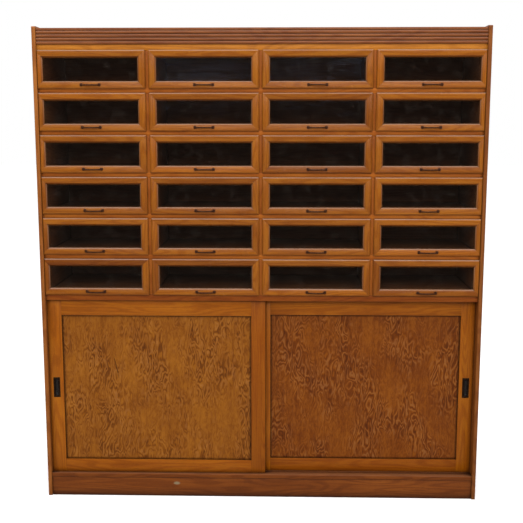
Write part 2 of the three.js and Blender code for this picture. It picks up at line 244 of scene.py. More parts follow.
# Base: the floor board, whose moulded front edge is the sill and whose top is grooved for the doors, on a
# front and a rear plinth board. Brown oak, screwed from below, painted paler on top, partly as the grey wear
# of the doors on the sill and partly as a painted highlight, with dirt and painted shade in its corners and a
# filled knot in the front plinth.
base_low, base_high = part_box("base_with_plinth")
side_thickness = 17 * mm
side_inner = -side_low[0] - side_thickness
# An edge is found to within a hair. Cutters reach past the wood: a little, by spare, or right through and
# out, to beyond and overhead.
hair = 0.1 * mm
spare = 1 * mm
beyond = 1
overhead = 3
log_span = 20
plain_ease = 0.6 * mm
board_ease = 0.8 * mm
smooth_angle = radians(32)
corner_dirt_and_shade = 9 * mm
grain_depth = 0.3 * mm
edge_wear_and_highlight = 4.2 * mm, 2.4 * mm
pane_wear_and_highlight = 4.4 * mm, 2.6 * mm
pane_bevel_shade = 6.4 * mm, 5.4 * mm
knot_size = 16 * mm, 30 * mm, 8 * mm


def shade(red, green, blue):
    """A colour as seen on a screen, 0 to 255, as the shader takes it."""
    parts = [channel / 255 for channel in (red, green, blue)]
    return tuple(p / 12.92 if p < 0.04045 else ((p + 0.055) / 1.055) ** 2.4 for p in parts)


def opaque(colour, share=1):
    """A colour, or a darker share of it, as a socket takes it."""
    return (*(channel * share for channel in colour), 1)


def oak_finish(name, tones, polish=0.4, coat=0.0, pale_weight=0.0, wear_and_highlight_colour=shade(150, 116, 88), grime_and_shade=0.85,
               reach=corner_dirt_and_shade, figure=1.0, framed=False, knot=None):
    """Solid oak under old shellac: growth rings drawn out along the grain, fine streaks and open pores,
    pale flecks of ray, a patchy polish, and dirt with painted shade darkening the corners. Wood turned up is
    painted paler, partly as wear and partly as a painted highlight; on a frame only in a line along its upper
    edge and round the pane, whose top bevel gets painted shade instead. A knot is a flaw at that place,
    filled with pale putty."""
    deep, middle, pale = tones
    oak = Finish(name)
    grain = oak.node("Attribute", attribute_name="grain").part("Vector")
    tone = oak.node("Attribute", attribute_name="tone").part("Fac")
    drift = oak.noise(grain, (0.9, 8, 8), 2, 0.55, 0.2)
    ring_phase = drift * (120 * figure) + oak.noise(grain, (5, 60, 60), 2) * 1.6
    late_wood = oak.spread(oak.math("SINE", ring_phase), -0.4, 1.0)
    streak = oak.noise(grain, (3.5, 150, 150), 3, 0.6)
    thread = oak.noise(grain, (12, 620, 620), 2, 0.6)
    pore = oak.spread(oak.noise(grain, (38, 1500, 1500), 1), 0.6, 0.72)
    fleck = oak.spread(oak.noise(grain, (60, 190, 620), 1, 0.5, 0.6), 0.64, 0.74)
    blotch = oak.noise(grain, (2.0, 9, 9), 3, 0.6)
    depth = late_wood * 0.13 + streak * 0.30 + thread * 0.20 + blotch * 0.42 - 0.08
    colour = oak.ramp(depth, [(0.16, pale), (0.46, middle), (0.84, deep)])
    colour = oak.mix(fleck * 0.3, colour, opaque(pale))
    colour = oak.mix(pore * 0.5, colour, opaque(deep, 0.35))
    colour = oak.mix(oak.spread(tone, 0, -1), colour, (0.62, 0.52, 0.42, 1), "MULTIPLY")
    colour = oak.mix(oak.spread(tone, 0, 1), colour, (1.24, 1.24, 1.2, 1), "MULTIPLY")
    # Wood turned up is painted paler: partly wear, partly a painted highlight of the light from above.
    if pale_weight > 0:
        upward = oak.axes(oak.node("NewGeometry").part("Normal")).part("Z")
        paler_share = oak.spread(upward, 0.3, 0.7)
        if framed:
            edges = oak.axes(oak.node("Attribute", attribute_name="edges").part("Vector"))
            # Painted highlight with some wear: a line round the pane on its sides and bottom, and on faces
            # turned up a line along the outer edge.
            by_pane = oak.spread(edges.part("X"), *pane_wear_and_highlight)
            in_bevel = oak.spread(edges.part("X"), *pane_bevel_shade)
            paler_share = paler_share * oak.spread(edges.part("Y"), *edge_wear_and_highlight)
            paler_share = oak.math("MAXIMUM", paler_share, by_pane * oak.spread(upward, -0.35, 0.45))
            # Painted shade on the pane's top bevel, which faces down.
            colour = oak.mix(in_bevel * oak.spread(upward, 0.3, -0.4) * 0.65, colour, opaque(deep))
        paler_share = paler_share * oak.spread(blotch + streak * 0.4, 0.45, 0.75, 0.6, 1)
        colour = oak.mix(paler_share * pale_weight, colour, opaque(wear_and_highlight_colour))
    if knot:
        around = oak.vector("SUBTRACT", oak.place(), knot)
        around = oak.vector("MULTIPLY", around, [1 / size for size in knot_size])
        filler = oak.spread(oak.vector("LENGTH", around) + streak * 0.4, 1.3, 0.8)
        colour = oak.mix(filler * 0.8, colour, opaque(shade(130, 116, 90)))
    # Painted shade with some dirt: darker in corners and gaps with walls within reach.
    dirt_and_shade = oak.spread(oak.openness(reach), 0.95, 0.35)
    colour = oak.mix(dirt_and_shade * grime_and_shade, colour, opaque(deep, 0.3))
    smear = oak.noise(grain, (7, 16, 16), 3, 0.6)
    rough = smear * 0.2 + pore * 0.2 + dirt_and_shade * 0.3 + (polish - 0.1)
    oak.surface({"Base Color": colour, "Roughness": rough})
    oak.surface({"IOR": 1.33, "Coat Weight": coat, "Coat Roughness": 0.16})
    oak.relief(streak * 0.25 + thread * 0.35 - pore * 0.6 - late_wood * 0.12, grain_depth, 0.4)
    return oak.material


def draw_bar(name, outline, reach):
    """A bar of one section: the outline is drawn corner by corner, filled and drawn out along the reach."""
    bpy.ops.object.select_all(action="DESELECT")
    bpy.ops.mesh.primitive_plane_add(size=mm, location=outline[0])
    bar = bpy.context.object
    bar.name = bar.data.name = name
    bpy.ops.object.transform_apply(location=True, rotation=False, scale=False)
    bpy.ops.object.mode_set(mode="EDIT")
    bpy.ops.mesh.select_mode(type="VERT")
    bpy.ops.mesh.select_all(action="SELECT")
    bpy.ops.mesh.merge(type="CENTER")
    for here, there in zip(outline, outline[1:]):
        step = Vector(there) - Vector(here)
        bpy.ops.mesh.extrude_region_move(TRANSFORM_OT_translate={"value": step})
    bpy.ops.mesh.select_all(action="DESELECT")
    corners = bmesh.from_edit_mesh(bar.data)
    for corner in corners.verts:
        corner.select = len(corner.link_edges) == 1
    bmesh.update_edit_mesh(bar.data)
    bpy.ops.mesh.edge_face_add()
    bpy.ops.mesh.select_all(action="SELECT")
    bpy.ops.mesh.edge_face_add()
    bpy.ops.mesh.extrude_region_move(TRANSFORM_OT_translate={"value": Vector(reach)})
    bpy.ops.mesh.select_all(action="SELECT")
    bpy.ops.mesh.normals_make_consistent(inside=False)
    bpy.ops.object.mode_set(mode="OBJECT")
    return bar


def saw_board(name, low, high):
    """A squared board between two corners."""
    middle = [(a + b) / 2 for a, b in zip(low, high)]
    bpy.ops.object.select_all(action="DESELECT")
    bpy.ops.mesh.primitive_cube_add(size=1, location=middle)
    board = bpy.context.object
    board.name = board.data.name = name
    board.scale = [b - a for a, b in zip(low, high)]
    bpy.ops.object.transform_apply(location=True, rotation=True, scale=True)
    return board


def round_over(board, width, segments, test):
    """Rounds just the edges whose middle and direction pass the test."""
    bpy.context.view_layer.objects.active = board
    bpy.ops.object.mode_set(mode="EDIT")
    bpy.ops.mesh.select_mode(type="EDGE")
    bpy.ops.mesh.select_all(action="DESELECT")
    mesh = bmesh.from_edit_mesh(board.data)
    for edge in mesh.edges:
        start, end = (corner.co for corner in edge.verts)
        edge.select = test((start + end) / 2, (end - start).normalized())
    mesh.select_flush_mode()
    bmesh.update_edit_mesh(board.data)
    bpy.ops.mesh.bevel(offset=width, segments=segments, affect="EDGES")
    bpy.ops.object.mode_set(mode="OBJECT")


def ease(board, width=plain_ease, segments=2, angle=30):
    """Takes the sharpness off every edge that is still sharp."""
    bpy.context.view_layer.objects.active = board
    easing = board.modifiers.new("easing", "BEVEL")
    easing.width = width
    easing.segments = segments
    easing.limit_method = "ANGLE"
    easing.angle_limit = radians(angle)
    bpy.ops.object.modifier_apply(modifier=easing.name)


def cut_away(board, cutter):
    """Takes the cutter's shape out of the board, and removes the cutter."""
    bpy.context.view_layer.objects.active = board
    cutting = board.modifiers.new("cutting", "BOOLEAN")
    cutting.object = cutter
    cutting.operation = "DIFFERENCE"
    cutting.solver = "EXACT"
    bpy.ops.object.modifier_apply(modifier=cutting.name)
    bpy.data.objects.remove(cutter)


board_count = 0


def lay_grain(board, along, tone=0.0):
    """Writes, at each corner of a board, its place in the plank it was sawn from, with x along the grain."""
    global board_count
    board_count += 1
    log = random.Random(board_count)
    start = [log.uniform(-log_span, log_span) for _ in range(3)]
    order = {"X": (0, 1, 2), "Y": (1, 0, 2), "Z": (2, 0, 1)}[along]
    mesh = board.data
    grain = mesh.attributes.new("grain", "FLOAT_VECTOR", "POINT")
    for corner, value in zip(mesh.vertices, grain.data):
        value.vector = [corner.co[axis] + shift for axis, shift in zip(order, start)]
    mesh.attributes.new("tone", "FLOAT", "POINT")
    mesh.attributes["tone"].data.foreach_set("value", [tone] * len(mesh.vertices))
    mesh.attributes.new("board", "INT", "POINT")
    mesh.attributes["board"].data.foreach_set("value", [board_count] * len(mesh.vertices))
    return board


def put_together(name, boards, material):
    """Joins boards to one piece, and gives it its finish."""
    bpy.ops.object.select_all(action="DESELECT")
    for board in boards:
        board.select_set(True)
    bpy.context.view_layer.objects.active = boards[0]
    if len(boards) > 1:
        bpy.ops.object.join()
    piece = bpy.context.object
    piece.name = piece.data.name = name
    bpy.ops.object.shade_smooth_by_angle(angle=smooth_angle)
    piece.data.materials.clear()
    piece.data.materials.append(material)
    return piece


base_tones = shade(66, 29, 5), shade(102, 50, 11), shade(131, 71, 19)
filled_knot = (-374 * mm, base_low[1], 60.5 * mm)
base_dirt_and_shade = 36 * mm
base_oak = oak_finish("base_oak", base_tones, polish=0.42, pale_weight=0.18, grime_and_shade=1.0, reach=base_dirt_and_shade,
                      knot=filled_knot)
fit = 0.3 * mm
sill_y = base_low[1]
rail_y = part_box("drawer_carcass")[0][1]
floor_thickness = 19 * mm
floor_bottom = base_high[2] - floor_thickness
plinth_setback = 3 * mm
plinth_thickness = 20 * mm
track_lip = 14 * mm
track_width = 23 * mm
track_bead = 8 * mm
floor_track_depth = 5 * mm
sill_round = 2.5 * mm
plinth_ease = 1.5 * mm
front_track = rail_y + track_lip
rear_track = front_track + track_width + track_bead
floor_board = saw_board("floor_board", (base_low[0], sill_y, floor_bottom), base_high)
for hand in (-1, 1):
    x_pair = sorted((hand * (side_inner - fit), hand * beyond))
    cut_away(floor_board, saw_board("notch", (x_pair[0], -beyond, 0), (x_pair[1], rail_y, beyond)))
for track in (front_track, rear_track):
    low = (-beyond, track, base_high[2] - floor_track_depth)
    cut_away(floor_board, saw_board("groove", low, (beyond, track + track_width, beyond)))
round_over(floor_board, sill_round, 3, lambda m, d: abs(d.x) > 0.9 and abs(m.y - sill_y) < hair)
ease(floor_board)
lay_grain(floor_board, "X", -0.25)
plinths = []
for front in (sill_y + plinth_setback, base_high[1] - plinth_thickness):
    high = (side_inner - fit, front + plinth_thickness, floor_bottom)
    plinth = saw_board("plinth", (fit - side_inner, front, 0), high)
    ease(plinth, plinth_ease)
    plinths.append(lay_grain(plinth, "X", 0.05))
base = put_together("base", [floor_board, *plinths], base_oak)
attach(base, "carcass")
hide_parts("base_with_plinth")


# Sides: two full-height boards of brown oak. Their front edges stand in front of everything but the pulls and
# rise to a small rounded nose. They are housed for the long boards and rebated for the back.
nose_radius = 8 * mm
housing = 6 * mm
side_front = side_low[1]
side_back = side_high[1]
side_top = side_high[2]
side_round = 3 * mm
side_dirt_and_shade = 20 * mm
carcass_back = base_high[1]
deck_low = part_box("drawer_carcass")[0][2]
deck_thickness = 27 * mm
top_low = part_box("top_with_cornice")[0][2]
top_tongue = 15 * mm
back_panel_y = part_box("back_panel")[0][1]
back_rebate = 8 * mm
nose_steps = 8
side_tones = shade(83, 38, 12), shade(121, 68, 24), shade(150, 93, 40)
side_oak = oak_finish("side_oak", side_tones, polish=0.38, grime_and_shade=0.35, reach=side_dirt_and_shade)

for side_name, hand, side_tone in (("left", -1, 0.7), ("right", 1, -0.46)):
    inner = hand * side_inner
    outline = [(inner, side_front, 0), (inner, side_back, 0), (inner, side_back, side_top)]
    for step in range(nose_steps + 1):
        turn = pi / 2 * (1 + step / nose_steps)
        y = side_front + nose_radius * (1 + cos(turn))
        outline.append((inner, y, side_top - nose_radius * (1 - sin(turn))))
    side = draw_bar("side", outline, (hand * side_thickness, 0, 0))
    round_over(side, side_round, 4, lambda m, d: abs(d.x) < 0.5 and m.y < side_front + hair)
    housings = [(base_high[2] - floor_thickness, base_high[2]), (deck_low, deck_low + deck_thickness)]
    housings.append((top_low, top_low + top_tongue))
    for low, high in housings:
        x_pair = sorted((inner - hand * spare, inner + hand * housing))
        end = (x_pair[1], beyond, high + fit)
        cut_away(side, saw_board("housing", (x_pair[0], rail_y - fit, low - fit), end))
    x_pair = sorted((inner - hand * spare, inner + hand * back_rebate))
    low = (x_pair[0], back_panel_y - fit, -beyond)
    cut_away(side, saw_board("rebate", low, (x_pair[1], beyond, overhead)))
    ease(side, board_ease)
    lay_grain(side, "Z", side_tone)
    side = put_together(f"side_{side_name}", [side], side_oak)
    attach(side, "carcass")
    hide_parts(f"side_panel_{side_name}")


# Drawer carcass: dust boards through from side to side with short partitions housed between them, on the
# deck that is grooved below for the doors. Their front edges are the strips seen between the drawers.
partition_half = 10 * mm
dust_thickness = 22 * mm
front_lip = 2.5 * mm
bay_height = 153.3 * mm
deck_track_depth = 14 * mm
partition_setback = 0.2 * mm
deck_ease = 1 * mm
rows = 6
columns = 4
row_bottoms = [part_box(f"drawer_r{row + 1}_c1")[0][2] for row in range(rows)]
column_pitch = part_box("glass_r1_c2")[0][0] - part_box("glass_r1_c1")[0][0]
carcass_tones = shade(104, 46, 6), shade(146, 76, 14), shade(172, 100, 26)
carcass_dirt_and_shade = 12 * mm
# Strong painted shade with some dirt on the strips between the drawers.
carcass_oak = oak_finish("carcass_oak", carcass_tones, polish=0.38, grime_and_shade=0.8, reach=carcass_dirt_and_shade)

carcass_low, carcass_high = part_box("drawer_carcass")
deck = saw_board("deck", carcass_low, (carcass_high[0], carcass_high[1], deck_low + deck_thickness))
for track in (front_track, rear_track):
    high = (beyond, track + track_width, deck_low + deck_track_depth)
    cut_away(deck, saw_board("groove", (-beyond, track, 0), high))
ease(deck, deck_ease)
boards = [lay_grain(deck, "X", -1)]
for row_bottom in row_bottoms[:-1]:
    low = row_bottom + front_lip - dust_thickness
    ends = side_inner - fit
    dust = saw_board("dust", (-ends, rail_y, low), (ends, carcass_back, low + dust_thickness))
    ease(dust, board_ease)
    boards.append(lay_grain(dust, "X", 0.1))
for row_bottom in row_bottoms:
    for line in range(1, columns):
        middle = (line - columns / 2) * column_pitch
        low = (middle - partition_half, rail_y + partition_setback, row_bottom + front_lip)
        high = (middle + partition_half, carcass_back, low[2] + bay_height)
        partition = saw_board("partition", low, high)
        ease(partition, board_ease)
        boards.append(lay_grain(partition, "Z", 0.1))
carcass = put_together("drawer_carcass_boards", boards, carcass_oak)
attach(carcass, "carcass")
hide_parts("drawer_carcass")


# Top: one board between the sides, tongued into them, whose front edge is the plain golden frieze. A reeded
# cornice of redder oak with a square fillet over the reeds is glued on behind that edge.
top_thickness = 24.5 * mm
reeds = 4
reed_pitch = 14.2 * mm
reed_bulge = 5 * mm
fillet = 11 * mm
cornice_thickness = 20 * mm
cornice_proud = 1.5 * mm
fillet_round = 0.8 * mm
reed_steps = 12
top_tones = shade(113, 60, 11), shade(162, 98, 25), shade(192, 125, 40)
top_oak = oak_finish("top_oak", top_tones, polish=0.36, grime_and_shade=0.3)
cornice_tones = shade(72, 28, 9), shade(110, 58, 22), shade(135, 79, 35)
# The reeds' upper faces are painted paler, as wear and as a painted highlight.
cornice_oak = oak_finish("cornice_oak", cornice_tones, polish=0.3, coat=0.5, pale_weight=0.6,
                         wear_and_highlight_colour=shade(124, 84, 58), grime_and_shade=0.6)

cornice_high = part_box("top_with_cornice")[1]
top_high = top_low + top_thickness
top_end = side_inner + housing - fit
top_board = saw_board("top_board", (-top_end, rail_y, top_low), (top_end, carcass_back, top_high))
for hand in (-1, 1):
    x_pair = sorted((hand * (side_inner - fit), hand * beyond))
    low = (x_pair[0], -beyond, top_low + top_tongue)
    cut_away(top_board, saw_board("shoulder", low, (x_pair[1], beyond, overhead)))
ease(top_board, board_ease)
lay_grain(top_board, "X", 0.2)
top_board = put_together("top_board", [top_board], top_oak)
root = rail_y - cornice_proud
end = side_inner - fit
outline = [(-end, root + cornice_thickness, top_high), (-end, root + cornice_thickness, cornice_high[2])]
outline.append((-end, root - reed_bulge / 2, cornice_high[2]))
outline.append((-end, root - reed_bulge / 2, cornice_high[2] - fillet + reed_bulge / 2))
for reed in reversed(range(reeds)):
    middle = top_high + (reed + 1 / 2) * reed_pitch
    for step in range(reed_steps + 1):
        turn = pi * (1 / 2 + step / reed_steps)
        if step or reed == reeds - 1:
            outline.append((-end, root + reed_bulge * cos(turn), middle + reed_pitch / 2 * sin(turn)))
cornice = draw_bar("cornice", outline, (2 * end, 0, 0))
round_over(cornice, fillet_round, 2, lambda m, d: abs(d.x) > 0.9 and m.z > cornice_high[2] - fillet / 2)
lay_grain(cornice, "X")
cornice = put_together("cornice", [cornice], cornice_oak)
for piece in (top_board, cornice):
    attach(piece, "carcass")
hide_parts("top_with_cornice")


# Back: one sheet of brown plywood in the rebates of the sides, nailed round its edge and to the boards.
# The round nail heads lie almost flush.
nail_radius = 3 * mm
nail_pitch = 155 * mm
nail_edge = 14 * mm
nail_rise = 0.7 * mm
head_sunk = 0.05 * mm
metal_pitting = 0.1 * mm
back_tones = shade(84, 54, 28), shade(128, 88, 50), shade(158, 116, 72)
back_ply = oak_finish("back_ply", back_tones, polish=0.62, figure=1.4)

back_low, back_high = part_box("back_panel")
back = saw_board("back", back_low, back_high)
ease(back)
lay_grain(back, "Z")
back = put_together("back_sheet", [back], back_ply)
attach(back, "carcass")
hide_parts("back_panel")


def metal_finish(name, colour, light, rough, pale_weight):
    """Old lacquered metal: a dark ground, rubbed to a lighter metal in patches, with a fine uneven gloss."""
    metal = Finish(name)
    place = metal.place()
    patch = metal.noise(place, 260, 4, 0.6)
    speck = metal.noise(place, 2200, 2)
    paler_share = metal.spread(patch + speck * 0.25, 0.55, 0.8) * pale_weight
    metal.surface({"Base Color": metal.mix(paler_share, opaque(colour), opaque(light)), "Metallic": 0.85})
    metal.surface({"Roughness": patch * 0.3 + (rough - 0.15)})
    metal.relief(speck * 0.5 + patch, metal_pitting, 0.4)
    return metal.material


def raise_head(name, place, direction, radius, rise):
    """The low domed head of a nail or screw: a small ball, halved and flattened."""
    bpy.ops.object.select_all(action="DESELECT")
    bpy.ops.mesh.primitive_uv_sphere_add(segments=12, ring_count=8, radius=radius)
    head = bpy.context.object
    head.name = head.data.name = name
    bpy.ops.object.mode_set(mode="EDIT")
    bpy.ops.mesh.select_all(action="SELECT")
    bpy.ops.mesh.bisect(plane_co=(0, 0, 0), plane_no=(0, direction, 0), use_fill=True, clear_inner=True)
    bpy.ops.mesh.select_all(action="SELECT")
    bpy.ops.mesh.normals_make_consistent(inside=False)
    bpy.ops.object.mode_set(mode="OBJECT")
    head.scale = (1, rise / radius, 1)
    head.location = place
    bpy.ops.object.transform_apply(location=True, rotation=True, scale=True)
    return head


nail_steel = metal_finish("nail_steel", shade(70, 62, 56), shade(150, 140, 130), 0.5, 0.5)
nail_width = back_high[0] - nail_edge
nail_bottom = back_low[2] + nail_edge
nail_top = back_high[2] - nail_edge
across = round(2 * nail_width / nail_pitch)
upward = round((nail_top - nail_bottom) / nail_pitch)
spots = []
for step in range(across + 1):
    x = 2 * nail_width * step / across - nail_width
    spots += [(x, z) for z in (nail_bottom, nail_top, deck_low + deck_thickness / 2)]
for step in range(1, upward):
    z = nail_bottom + (nail_top - nail_bottom) / upward * step
    spots += [(-nail_width, z), (nail_width, z)]
nails = [raise_head("nail", (x, back_high[1] - head_sunk, z), 1, nail_radius, nail_rise) for x, z in spots]
nails = put_together("back_nails", nails, nail_steel)
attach(nails, "carcass")


# Drawer fronts: four members of golden oak, mitred at the corners, with a chamfer outside, a narrower one
# round the pane and a groove for it. The outer stiles of the outer columns are planed narrower. A front is
# rebated behind, so that a thin lip overlaps the edges of its bay.
front_stand = 10 * mm
front_thickness = 18 * mm
front_member = 30.5 * mm
arris = 5 * mm
sight_bevel = 6 * mm
pane_groove = 8.7 * mm
pane_groove_end = 12.3 * mm
pane_groove_depth = 6.3 * mm
run_gap = 1.25 * mm
member_ease = 0.45 * mm
front_tones = shade(93, 42, 4), shade(129, 70, 10), shade(152, 93, 22)
# Fronts: painted highlight with some wear along the upper edge and round the pane, and painted shade on the
# pane's top bevel.
front_oak = oak_finish("front_oak", front_tones, polish=0.28, coat=0.45, pale_weight=0.95,
                       wear_and_highlight_colour=shade(140, 108, 88), grime_and_shade=0.6, framed=True)


def mill_member(corner, along, inward, length, width, rebate):
    """A member of a front, from a corner of its outline, with its profile on the inward side."""
    root = width - pane_groove_depth
    section = [(rebate, front_thickness), (rebate, front_stand), (0, front_stand), (0, arris), (arris, 0)]
    section += [(width - sight_bevel, 0), (width, sight_bevel), (width, pane_groove), (root, pane_groove)]
    section += [(root, pane_groove_end), (width, pane_groove_end), (width, front_thickness)]
    outline = [(corner[0] + inward[0] * r, side_front + y, corner[1] + inward[1] * r) for r, y in section]
    return draw_bar("member", outline, (along[0] * length, 0, along[1] * length))


def saw_off(board, place, normal):
    """Saws a board through at a place, and drops the part that the normal points away from."""
    bpy.ops.object.mode_set(mode="EDIT")
    bpy.ops.mesh.select_all(action="SELECT")
    bpy.ops.mesh.bisect(plane_co=place, plane_no=normal, use_fill=True, clear_inner=True)
    bpy.ops.object.mode_set(mode="OBJECT")


bays = []
for column in range(columns):
    low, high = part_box(f"drawer_r1_c{column + 1}")
    pane_low, pane_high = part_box(f"glass_r1_c{column + 1}")
    middle = (pane_low[0] + pane_high[0]) / 2
    box_start = (column - columns / 2) * column_pitch + partition_half + run_gap
    box_stop = (column + 1 - columns / 2) * column_pitch - partition_half - run_gap
    box_start = max(box_start, run_gap - side_inner)
    box_stop = min(box_stop, side_inner - run_gap)
    bays.append((middle, low[0] - middle, high[0] - middle, box_start - middle, box_stop - middle))
front_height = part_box("drawer_r1_c1")[1][2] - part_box("drawer_r1_c1")[0][2]
sight_half = bays[1][2] - front_member

front_patterns = []
for _, left, right, box_start, box_stop in bays:
    lines = [
        ((left, 0), (1, 0), (0, 1), right - left, front_member, front_lip + run_gap, "X"),
        ((right, front_height), (-1, 0), (0, -1), right - left, front_member, front_lip + run_gap, "X"),
        ((left, front_height), (0, -1), (1, 0), front_height, -sight_half - left, box_start - left, "Z"),
        ((right, 0), (0, 1), (-1, 0), front_height, right - sight_half, right - box_stop, "Z"),
    ]
    members = []
    for corner, along, inward, length, width, rebate, grain_way in lines:
        member = mill_member(corner, along, inward, length, width, rebate)
        for way in (1, -1):
            end_x = corner[0] + along[0] * length * (way < 0)
            end_z = corner[1] + along[1] * length * (way < 0)
            sight_z = front_height - front_member if end_z else front_member
            sight = (copysign(sight_half, end_x), 0, sight_z)
            saw_off(member, sight, (along[0] * way - inward[0], 0, along[1] * way - inward[1]))
            if along[0] and abs(end_x) < sight_half + front_member - spare:
                saw_off(member, (end_x, side_front + arris, 0), (-copysign(1, end_x), 1, 0))
        ease(member, member_ease)
        edges = member.data.attributes.new("edges", "FLOAT_VECTOR", "POINT")
        for vertex, value in zip(member.data.vertices, edges.data):
            inset = (vertex.co.x - corner[0]) * inward[0] + (vertex.co.z - corner[1]) * inward[1]
            value.vector = (width - inset, inset, 0)
        members.append(lay_grain(member, grain_way))
    front_patterns.append(put_together("front_pattern", members, front_oak))

# Drawer box: two sides with rounded upper edges, a lower back and a bottom, glued into the front. Plain
# unpolished oak in dark tones, partly darkened with use and partly painted shade for the inside of a closed
# drawer.
box_wall = 11 * mm
box_length = 440 * mm
box_low = 2.8 * mm
box_high = 140.8 * mm
box_floor = 8.8 * mm
box_floor_thickness = 5 * mm
box_back_drop = 8 * mm
wall_round = 3 * mm
wall_ease = 0.4 * mm
# Dark tones, partly painted shade for the inside of a closed drawer.
box_tones = shade(74, 40, 20), shade(112, 68, 38), shade(142, 96, 60)
box_oak = oak_finish("box_oak", box_tones, polish=0.6)

box_front = side_front + front_thickness
box_end = box_front + box_length
box_patterns = []
for *_, box_start, box_stop in bays:
    boards = []
    for start in (box_start, box_stop - box_wall):
        wall = saw_board("wall", (start, box_front, box_low), (start + box_wall, box_end, box_high))
        round_over(wall, wall_round, 3, lambda m, d: abs(d.y) > 0.9 and m.z > box_high - spare)
        ease(wall, wall_ease)
        boards.append(lay_grain(wall, "Y"))
    start = box_start + box_wall
    stop = box_stop - box_wall
    low = (start, box_end - box_wall, box_floor + box_floor_thickness)
    wall = saw_board("wall", low, (stop, box_end, box_high - box_back_drop))
    ease(wall, board_ease)
    boards.append(lay_grain(wall, "X"))
    tray = saw_board("tray", (start, box_front, box_floor), (stop, box_end, box_floor + box_floor_thickness))
    ease(tray, wall_ease)
    boards.append(lay_grain(tray, "X", 0.2))
    box_patterns.append(put_together("box_pattern", boards, box_oak))

# Bow pull: a strap of dark lacquered metal, bent to a flat bow that reaches forward from two small feet, on
# the lower member of each front. Two screws through the member hold it from behind.
bow_half_span = 38 * mm
bow_reach = 20 * mm
bow_strap = 4 * mm
bow_height = 6 * mm
bow_fall = pi / 36
bow_squareness = 2.6
strap_ease = 1.7 * mm
bow_foot = (11 * mm, 2.5 * mm, 12 * mm)
foot_corner = 2.5 * mm
foot_round = 0.8 * mm
bow_screw = (3.2 * mm, 1.2 * mm)
bow_centre = 16.5 * mm
bow_steps = 28
bow_metal = metal_finish("bow_metal", shade(72, 42, 30), shade(140, 98, 72), 0.4, 0.6)

reach_along = (bow_reach - bow_height / 2 * sin(bow_fall)) / cos(bow_fall)
outline = []
for half_x, half_y, way in (
    (bow_half_span + bow_strap / 2, reach_along, 1),
    (bow_half_span - bow_strap / 2, reach_along - bow_strap, -1),
):
    for step in range(bow_steps + 1):
        turn = pi * (step / bow_steps if way > 0 else 1 - step / bow_steps)
        forward = half_y * abs(sin(turn)) ** (2 / bow_squareness)
        x = copysign(half_x * abs(cos(turn)) ** (2 / bow_squareness), cos(turn))
        y = side_front - forward * cos(bow_fall) - bow_height / 2 * sin(bow_fall)
        z = bow_centre - forward * sin(bow_fall) + bow_height / 2 * cos(bow_fall)
        outline.append((x, y, z))
strap = draw_bar("strap", outline, (0, bow_height * sin(bow_fall), -bow_height * cos(bow_fall)))
ease(strap, strap_ease, 3, 50)
pieces = [strap]
foot_front = side_front - bow_foot[1]
for hand in (-1, 1):
    x = hand * bow_half_span
    low = (x - bow_foot[0] / 2, foot_front, bow_centre - bow_foot[2] / 2)
    foot = saw_board("foot", low, (x + bow_foot[0] / 2, side_front, bow_centre + bow_foot[2] / 2))
    round_over(foot, foot_corner, 3, lambda m, d: abs(d.y) > 0.9)
    round_over(foot, foot_round, 2, lambda m, d: m.y < foot_front + hair and abs(d.y) < 0.5)
    pieces.append(foot)
    pieces.append(raise_head("screw", (x, box_front - head_sunk, bow_centre), 1, *bow_screw))
bow_pattern = put_together("bow_pattern", pieces, bow_metal)

# Drawers: each bay gets a copy of its column's front and box and of the pull, with every board from another
# plank. The pane in the front is old drawn sheet glass, the CAD's own: a little wavy, with a dark film of
# patchy dust and painted shade that dims what is behind, and a brown band of painted shade along its edges.
row_series = 100
front_series = 40
box_series = 50
drawer_tones = (-0.36, 0.33)
plank_spread = 0.3
reveal_shade_reach = 6 * mm
pane_wave = 6 * mm


def set_copy(pattern, name, shift, number, tone=0.0, spread=0.0):
    """A copy of a pattern with its own mesh, moved to its place, and with each board from another plank."""
    copy = pattern.copy()
    copy.data = pattern.data.copy()
    copy.name = copy.data.name = name
    scene.collection.objects.link(copy)
    mesh = copy.data
    mesh.transform(Matrix.Translation(shift))
    if "grain" not in mesh.attributes:
        return copy
    log = random.Random(number)
    boards = [0] * len(mesh.vertices)
    mesh.attributes["board"].data.foreach_get("value", boards)
    planks = {}
    for board in sorted(set(boards)):
        place = Vector([log.uniform(-log_span, log_span) for _ in range(3)])
        planks[board] = (place, tone + log.gauss(0, spread))
    grain = mesh.attributes["grain"].data
    tones = mesh.attributes["tone"].data
    for index, board in enumerate(boards):
        grain[index].vector = Vector(grain[index].vector) + planks[board][0]
        tones[index].value = planks[board][1]
    return copy


pane = Finish("pane_glass")
wave = pane.noise(pane.place(), (5, 1, 12), 2)
# A dark film over the glass: patchy dust, and painted shade that dims the inside of the drawer.
film = pane.spread(pane.noise(pane.place(), 30, 4, 0.65), 0.45, 0.8)
outside = 1 - pane.node("NewGeometry").part("Backfacing")
# Painted shade: a brown band along the edges, where the frame's reveal is in shadow.
reveal_shade = pane.spread(pane.openness(reveal_shade_reach), 0.9, 0.6) * outside
pane_colour = pane.mix(film, (0.006, 0.005, 0.004, 1), (0.026, 0.022, 0.018, 1))
pane_colour = pane.mix(reveal_shade, pane_colour, opaque(shade(88, 52, 20)))
pane.surface({"Alpha": pane.math("MAXIMUM", film * 0.05 + 0.2, reveal_shade * 0.8), "Base Color": pane_colour})
pane.surface({"Roughness": 0.05, "IOR": 1.48})
pane.relief(wave, pane_wave, 0.12)

